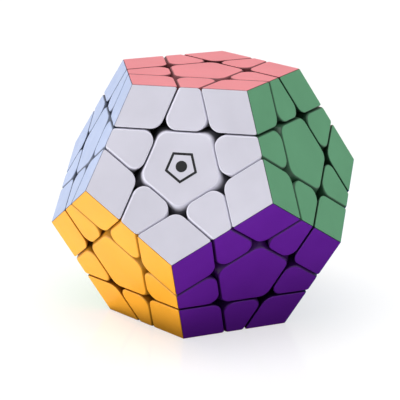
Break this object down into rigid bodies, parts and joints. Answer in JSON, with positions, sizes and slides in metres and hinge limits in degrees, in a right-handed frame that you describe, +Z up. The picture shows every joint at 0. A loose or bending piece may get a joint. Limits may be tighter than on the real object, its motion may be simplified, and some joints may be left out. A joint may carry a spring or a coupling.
{
  "type": "dodecahedron twisty puzzle",
  "caption": "Dodecahedral twisty puzzle: coloured plastic centre, edge and corner pieces on a ball core, with every face but the base turning about its own axis.",
  "frame": {"origin": "centre of the core, where the 12 face axes meet, halfway up the puzzle", "axes": "+Z up through the coral top face, -Y towards the white face, the base face flat below"},
  "size_m": [0.089, 0.0936, 0.0758],
  "materials": {
    "coral": "smooth moulded, satin gloss",
    "white": "smooth moulded, satin gloss",
    "green": "smooth moulded, satin gloss",
    "cream": "smooth moulded, satin gloss",
    "pink": "smooth moulded, satin gloss",
    "blue": "smooth moulded, satin gloss",
    "amber": "smooth moulded, satin gloss",
    "purple": "smooth moulded, satin gloss",
    "sky": "smooth moulded, satin gloss",
    "grey": "smooth moulded, satin gloss",
    "lime": "smooth moulded, satin gloss",
    "orange": "smooth moulded, satin gloss",
    "inner_black": "fine moulded, slightly glossy",
    "steel": "zinc-plated, satin"
  },
  "bodies": {
    "core": {"core_halves": "inner_black", "screws_with_washers": "steel", "springs": "steel", "centre_orange": "orange"},
    "centre_coral": {"centre_coral": "coral"},
    "centre_white": {"centre_white": "white"},
    "centre_green": {"centre_green": "green"},
    "centre_cream": {"centre_cream": "cream"},
    "centre_pink": {"centre_pink": "pink"},
    "centre_blue": {"centre_blue": "blue"},
    "centre_amber": {"centre_amber": "amber", "edge_amber_orange": "amber"},
    "centre_purple": {"centre_purple": "purple", "edge_purple_orange": "purple"},
    "centre_sky": {"centre_sky": "sky", "edge_sky_orange": "sky"},
    "centre_grey": {"centre_grey": "grey", "edge_grey_orange": "grey"},
    "centre_lime": {"centre_lime": "lime", "edge_lime_orange": "lime"},
    "edge_coral_white": {"edge_coral_white": "coral"},
    "edge_coral_green": {"edge_coral_green": "coral"},
    "edge_coral_cream": {"edge_coral_cream": "coral"},
    "edge_coral_pink": {"edge_coral_pink": "coral"},
    "edge_coral_blue": {"edge_coral_blue": "coral"},
    "edge_white_green": {"edge_white_green": "white"},
    "edge_white_blue": {"edge_white_blue": "white"},
    "edge_white_amber": {"edge_white_amber": "white"},
    "edge_white_purple": {"edge_white_purple": "white"},
    "edge_green_cream": {"edge_green_cream": "green"},
    "edge_green_purple": {"edge_green_purple": "green"},
    "edge_green_sky": {"edge_green_sky": "green"},
    "edge_cream_pink": {"edge_cream_pink": "cream"},
    "edge_cream_grey": {"edge_cream_grey": "cream"},
    "edge_cream_sky": {"edge_cream_sky": "cream"},
    "edge_pink_blue": {"edge_pink_blue": "pink"},
    "edge_pink_grey": {"edge_pink_grey": "pink"},
    "edge_pink_lime": {"edge_pink_lime": "pink"},
    "edge_blue_lime": {"edge_blue_lime": "blue"},
    "edge_blue_amber": {"edge_blue_amber": "blue"},
    "edge_grey_lime": {"edge_grey_lime_and_base_corner": "grey"},
    "edge_sky_grey": {"edge_sky_grey_and_base_corner": "sky"},
    "edge_amber_lime": {"edge_amber_lime_and_base_corner": "amber"},
    "edge_amber_purple": {"edge_amber_purple_and_base_corner": "amber"},
    "edge_purple_sky": {"edge_purple_sky_and_base_corner": "purple"},
    "corner_coral_white_green": {"corner_coral_white_green": "coral"},
    "corner_coral_white_blue": {"corner_coral_white_blue": "coral"},
    "corner_coral_green_cream": {"corner_coral_green_cream": "coral"},
    "corner_coral_cream_pink": {"corner_coral_cream_pink": "coral"},
    "corner_coral_pink_blue": {"corner_coral_pink_blue": "coral"},
    "corner_white_green_purple": {"corner_white_green_purple": "white"},
    "corner_white_blue_amber": {"corner_white_blue_amber": "white"},
    "corner_white_amber_purple": {"corner_white_amber_purple": "white"},
    "corner_green_cream_sky": {"corner_green_cream_sky": "green"},
    "corner_green_purple_sky": {"corner_green_purple_sky": "green"},
    "corner_cream_pink_grey": {"corner_cream_pink_grey": "cream"},
    "corner_cream_sky_grey": {"corner_cream_sky_grey": "cream"},
    "corner_pink_blue_lime": {"corner_pink_blue_lime": "pink"},
    "corner_pink_grey_lime": {"corner_pink_grey_lime": "pink"},
    "corner_blue_amber_lime": {"corner_blue_amber_lime": "blue"}
  },
  "joints": [
    {"name": "coral_turn", "type": "hinge", "parent": "core", "child": "centre_coral", "pos_m": [0, 0, 0], "axis": [0, 0, 1], "range_deg": [-216, 144]},
    {"name": "white_turn", "type": "hinge", "parent": "core", "child": "centre_white", "pos_m": [0, 0, 0], "axis": [0, -0.8944, 0.4472], "range_deg": [-216, 144]},
    {"name": "green_turn", "type": "hinge", "parent": "core", "child": "centre_green", "pos_m": [0, 0, 0], "axis": [0.8507, -0.2764, 0.4472], "range_deg": [-216, 144]},
    {"name": "cream_turn", "type": "hinge", "parent": "core", "child": "centre_cream", "pos_m": [0, 0, 0], "axis": [0.5257, 0.7236, 0.4472], "range_deg": [-216, 144]},
    {"name": "pink_turn", "type": "hinge", "parent": "core", "child": "centre_pink", "pos_m": [0, 0, 0], "axis": [-0.5257, 0.7236, 0.4472], "range_deg": [-216, 144]},
    {"name": "blue_turn", "type": "hinge", "parent": "core", "child": "centre_blue", "pos_m": [0, 0, 0], "axis": [-0.8507, -0.2764, 0.4472], "range_deg": [-216, 144]},
    {"name": "amber_turn", "type": "hinge", "parent": "core", "child": "centre_amber", "pos_m": [0, 0, 0], "axis": [-0.5257, -0.7236, -0.4472], "range_deg": [-216, 144]},
    {"name": "purple_turn", "type": "hinge", "parent": "core", "child": "centre_purple", "pos_m": [0, 0, 0], "axis": [0.5257, -0.7236, -0.4472], "range_deg": [-216, 144]},
    {"name": "sky_turn", "type": "hinge", "parent": "core", "child": "centre_sky", "pos_m": [0, 0, 0], "axis": [0.8507, 0.2764, -0.4472], "range_deg": [-216, 144]},
    {"name": "grey_turn", "type": "hinge", "parent": "core", "child": "centre_grey", "pos_m": [0, 0, 0], "axis": [0, 0.8944, -0.4472], "range_deg": [-216, 144]},
    {"name": "lime_turn", "type": "hinge", "parent": "core", "child": "centre_lime", "pos_m": [0, 0, 0], "axis": [-0.8507, 0.2764, -0.4472], "range_deg": [-216, 144]},
    {"name": "edge_coral_white_turn", "type": "hinge", "parent": "centre_white", "child": "edge_coral_white", "pos_m": [0, 0, 0], "axis": [0, 0, 1], "range_deg": [-216, 144]},
    {"name": "edge_coral_green_turn", "type": "hinge", "parent": "centre_green", "child": "edge_coral_green", "pos_m": [0, 0, 0], "axis": [0, 0, 1], "range_deg": [-216, 144]},
    {"name": "edge_coral_cream_turn", "type": "hinge", "parent": "centre_cream", "child": "edge_coral_cream", "pos_m": [0, 0, 0], "axis": [0, 0, 1], "range_deg": [-216, 144]},
    {"name": "edge_coral_pink_turn", "type": "hinge", "parent": "centre_pink", "child": "edge_coral_pink", "pos_m": [0, 0, 0], "axis": [0, 0, 1], "range_deg": [-216, 144]},
    {"name": "edge_coral_blue_turn", "type": "hinge", "parent": "centre_blue", "child": "edge_coral_blue", "pos_m": [0, 0, 0], "axis": [0, 0, 1], "range_deg": [-216, 144]},
    {"name": "edge_white_green_turn", "type": "hinge", "parent": "centre_white", "child": "edge_white_green", "pos_m": [0, 0, 0], "axis": [0.8507, -0.2764, 0.4472], "range_deg": [-216, 144]},
    {"name": "edge_white_blue_turn", "type": "hinge", "parent": "centre_blue", "child": "edge_white_blue", "pos_m": [0, 0, 0], "axis": [0, -0.8944, 0.4472], "range_deg": [-216, 144]},
    {"name": "edge_white_amber_turn", "type": "hinge", "parent": "centre_white", "child": "edge_white_amber", "pos_m": [0, 0, 0], "axis": [-0.5257, -0.7236, -0.4472], "range_deg": [-216, 144]},
    {"name": "edge_white_purple_turn", "type": "hinge", "parent": "centre_purple", "child": "edge_white_purple", "pos_m": [0, 0, 0], "axis": [0, -0.8944, 0.4472], "range_deg": [-216, 144]},
    {"name": "edge_green_cream_turn", "type": "hinge", "parent": "centre_green", "child": "edge_green_cream", "pos_m": [0, 0, 0], "axis": [0.5257, 0.7236, 0.4472], "range_deg": [-216, 144]},
    {"name": "edge_green_purple_turn", "type": "hinge", "parent": "centre_green", "child": "edge_green_purple", "pos_m": [0, 0, 0], "axis": [0.5257, -0.7236, -0.4472], "range_deg": [-216, 144]},
    {"name": "edge_green_sky_turn", "type": "hinge", "parent": "centre_sky", "child": "edge_green_sky", "pos_m": [0, 0, 0], "axis": [0.8507, -0.2764, 0.4472], "range_deg": [-216, 144]},
    {"name": "edge_cream_pink_turn", "type": "hinge", "parent": "centre_cream", "child": "edge_cream_pink", "pos_m": [0, 0, 0], "axis": [-0.5257, 0.7236, 0.4472], "range_deg": [-216, 144]},
    {"name": "edge_cream_grey_turn", "type": "hinge", "parent": "centre_grey", "child": "edge_cream_grey", "pos_m": [0, 0, 0], "axis": [0.5257, 0.7236, 0.4472], "range_deg": [-216, 144]},
    {"name": "edge_cream_sky_turn", "type": "hinge", "parent": "centre_cream", "child": "edge_cream_sky", "pos_m": [0, 0, 0], "axis": [0.8507, 0.2764, -0.4472], "range_deg": [-216, 144]},
    {"name": "edge_pink_blue_turn", "type": "hinge", "parent": "centre_pink", "child": "edge_pink_blue", "pos_m": [0, 0, 0], "axis": [-0.8507, -0.2764, 0.4472], "range_deg": [-216, 144]},
    {"name": "edge_pink_grey_turn", "type": "hinge", "parent": "centre_pink", "child": "edge_pink_grey", "pos_m": [0, 0, 0], "axis": [0, 0.8944, -0.4472], "range_deg": [-216, 144]},
    {"name": "edge_pink_lime_turn", "type": "hinge", "parent": "centre_lime", "child": "edge_pink_lime", "pos_m": [0, 0, 0], "axis": [-0.5257, 0.7236, 0.4472], "range_deg": [-216, 144]},
    {"name": "edge_blue_lime_turn", "type": "hinge", "parent": "centre_blue", "child": "edge_blue_lime", "pos_m": [0, 0, 0], "axis": [-0.8507, 0.2764, -0.4472], "range_deg": [-216, 144]},
    {"name": "edge_blue_amber_turn", "type": "hinge", "parent": "centre_amber", "child": "edge_blue_amber", "pos_m": [0, 0, 0], "axis": [-0.8507, -0.2764, 0.4472], "range_deg": [-216, 144]},
    {"name": "edge_grey_lime_turn", "type": "hinge", "parent": "centre_grey", "child": "edge_grey_lime", "pos_m": [0, 0, 0], "axis": [-0.8507, 0.2764, -0.4472], "range_deg": [-216, 144]},
    {"name": "edge_sky_grey_turn", "type": "hinge", "parent": "centre_sky", "child": "edge_sky_grey", "pos_m": [0, 0, 0], "axis": [0, 0.8944, -0.4472], "range_deg": [-216, 144]},
    {"name": "edge_amber_lime_turn", "type": "hinge", "parent": "centre_lime", "child": "edge_amber_lime", "pos_m": [0, 0, 0], "axis": [-0.5257, -0.7236, -0.4472], "range_deg": [-216, 144]},
    {"name": "edge_amber_purple_turn", "type": "hinge", "parent": "centre_amber", "child": "edge_amber_purple", "pos_m": [0, 0, 0], "axis": [0.5257, -0.7236, -0.4472], "range_deg": [-216, 144]},
    {"name": "edge_purple_sky_turn", "type": "hinge", "parent": "centre_purple", "child": "edge_purple_sky", "pos_m": [0, 0, 0], "axis": [0.8507, 0.2764, -0.4472], "range_deg": [-216, 144]},
    {"name": "corner_coral_white_green_turn", "type": "hinge", "parent": "edge_coral_white", "child": "corner_coral_white_green", "pos_m": [0, 0, 0], "axis": [0.8507, -0.2764, 0.4472], "range_deg": [-216, 144]},
    {"name": "corner_coral_white_blue_turn", "type": "hinge", "parent": "edge_coral_blue", "child": "corner_coral_white_blue", "pos_m": [0, 0, 0], "axis": [0, -0.8944, 0.4472], "range_deg": [-216, 144]},
    {"name": "corner_coral_green_cream_turn", "type": "hinge", "parent": "edge_coral_green", "child": "corner_coral_green_cream", "pos_m": [0, 0, 0], "axis": [0.5257, 0.7236, 0.4472], "range_deg": [-216, 144]},
    {"name": "corner_coral_cream_pink_turn", "type": "hinge", "parent": "edge_coral_cream", "child": "corner_coral_cream_pink", "pos_m": [0, 0, 0], "axis": [-0.5257, 0.7236, 0.4472], "range_deg": [-216, 144]},
    {"name": "corner_coral_pink_blue_turn", "type": "hinge", "parent": "edge_coral_pink", "child": "corner_coral_pink_blue", "pos_m": [0, 0, 0], "axis": [-0.8507, -0.2764, 0.4472], "range_deg": [-216, 144]},
    {"name": "corner_white_green_purple_turn", "type": "hinge", "parent": "edge_green_purple", "child": "corner_white_green_purple", "pos_m": [0, 0, 0], "axis": [0, -0.8944, 0.4472], "range_deg": [-216, 144]},
    {"name": "corner_white_blue_amber_turn", "type": "hinge", "parent": "edge_white_amber", "child": "corner_white_blue_amber", "pos_m": [0, 0, 0], "axis": [-0.8507, -0.2764, 0.4472], "range_deg": [-216, 144]},
    {"name": "corner_white_amber_purple_turn", "type": "hinge", "parent": "edge_amber_purple", "child": "corner_white_amber_purple", "pos_m": [0, 0, 0], "axis": [0, -0.8944, 0.4472], "range_deg": [-216, 144]},
    {"name": "corner_green_cream_sky_turn", "type": "hinge", "parent": "edge_cream_sky", "child": "corner_green_cream_sky", "pos_m": [0, 0, 0], "axis": [0.8507, -0.2764, 0.4472], "range_deg": [-216, 144]},
    {"name": "corner_green_purple_sky_turn", "type": "hinge", "parent": "edge_purple_sky", "child": "corner_green_purple_sky", "pos_m": [0, 0, 0], "axis": [0.8507, -0.2764, 0.4472], "range_deg": [-216, 144]},
    {"name": "corner_cream_pink_grey_turn", "type": "hinge", "parent": "edge_pink_grey", "child": "corner_cream_pink_grey", "pos_m": [0, 0, 0], "axis": [0.5257, 0.7236, 0.4472], "range_deg": [-216, 144]},
    {"name": "corner_cream_sky_grey_turn", "type": "hinge", "parent": "edge_sky_grey", "child": "corner_cream_sky_grey", "pos_m": [0, 0, 0], "axis": [0.5257, 0.7236, 0.4472], "range_deg": [-216, 144]},
    {"name": "corner_pink_blue_lime_turn", "type": "hinge", "parent": "edge_blue_lime", "child": "corner_pink_blue_lime", "pos_m": [0, 0, 0], "axis": [-0.5257, 0.7236, 0.4472], "range_deg": [-216, 144]},
    {"name": "corner_pink_grey_lime_turn", "type": "hinge", "parent": "edge_grey_lime", "child": "corner_pink_grey_lime", "pos_m": [0, 0, 0], "axis": [-0.5257, 0.7236, 0.4472], "range_deg": [-216, 144]},
    {"name": "corner_blue_amber_lime_turn", "type": "hinge", "parent": "edge_amber_lime", "child": "corner_blue_amber_lime", "pos_m": [0, 0, 0], "axis": [-0.8507, -0.2764, 0.4472], "range_deg": [-216, 144]}
  ],
  "couplings": [
    {"joint": "edge_coral_white_turn", "follows": "coral_turn", "ratio": 1},
    {"joint": "edge_coral_green_turn", "follows": "coral_turn", "ratio": 1},
    {"joint": "edge_coral_cream_turn", "follows": "coral_turn", "ratio": 1},
    {"joint": "edge_coral_pink_turn", "follows": "coral_turn", "ratio": 1},
    {"joint": "edge_coral_blue_turn", "follows": "coral_turn", "ratio": 1},
    {"joint": "edge_white_green_turn", "follows": "green_turn", "ratio": 1},
    {"joint": "edge_white_blue_turn", "follows": "white_turn", "ratio": 1},
    {"joint": "edge_white_amber_turn", "follows": "amber_turn", "ratio": 1},
    {"joint": "edge_white_purple_turn", "follows": "white_turn", "ratio": 1},
    {"joint": "edge_green_cream_turn", "follows": "cream_turn", "ratio": 1},
    {"joint": "edge_green_purple_turn", "follows": "purple_turn", "ratio": 1},
    {"joint": "edge_green_sky_turn", "follows": "green_turn", "ratio": 1},
    {"joint": "edge_cream_pink_turn", "follows": "pink_turn", "ratio": 1},
    {"joint": "edge_cream_grey_turn", "follows": "cream_turn", "ratio": 1},
    {"joint": "edge_cream_sky_turn", "follows": "sky_turn", "ratio": 1},
    {"joint": "edge_pink_blue_turn", "follows": "blue_turn", "ratio": 1},
    {"joint": "edge_pink_grey_turn", "follows": "grey_turn", "ratio": 1},
    {"joint": "edge_pink_lime_turn", "follows": "pink_turn", "ratio": 1},
    {"joint": "edge_blue_lime_turn", "follows": "lime_turn", "ratio": 1},
    {"joint": "edge_blue_amber_turn", "follows": "blue_turn", "ratio": 1},
    {"joint": "edge_grey_lime_turn", "follows": "lime_turn", "ratio": 1},
    {"joint": "edge_sky_grey_turn", "follows": "grey_turn", "ratio": 1},
    {"joint": "edge_amber_lime_turn", "follows": "amber_turn", "ratio": 1},
    {"joint": "edge_amber_purple_turn", "follows": "purple_turn", "ratio": 1},
    {"joint": "edge_purple_sky_turn", "follows": "sky_turn", "ratio": 1},
    {"joint": "corner_coral_white_green_turn", "follows": "green_turn", "ratio": 1},
    {"joint": "corner_coral_white_blue_turn", "follows": "white_turn", "ratio": 1},
    {"joint": "corner_coral_green_cream_turn", "follows": "cream_turn", "ratio": 1},
    {"joint": "corner_coral_cream_pink_turn", "follows": "pink_turn", "ratio": 1},
    {"joint": "corner_coral_pink_blue_turn", "follows": "blue_turn", "ratio": 1},
    {"joint": "corner_white_green_purple_turn", "follows": "white_turn", "ratio": 1},
    {"joint": "corner_white_blue_amber_turn", "follows": "blue_turn", "ratio": 1},
    {"joint": "corner_white_amber_purple_turn", "follows": "white_turn", "ratio": 1},
    {"joint": "corner_green_cream_sky_turn", "follows": "green_turn", "ratio": 1},
    {"joint": "corner_green_purple_sky_turn", "follows": "green_turn", "ratio": 1},
    {"joint": "corner_cream_pink_grey_turn", "follows": "cream_turn", "ratio": 1},
    {"joint": "corner_cream_sky_grey_turn", "follows": "cream_turn", "ratio": 1},
    {"joint": "corner_pink_blue_lime_turn", "follows": "pink_turn", "ratio": 1},
    {"joint": "corner_pink_grey_lime_turn", "follows": "pink_turn", "ratio": 1},
    {"joint": "corner_blue_amber_lime_turn", "follows": "blue_turn", "ratio": 1}
  ]
}
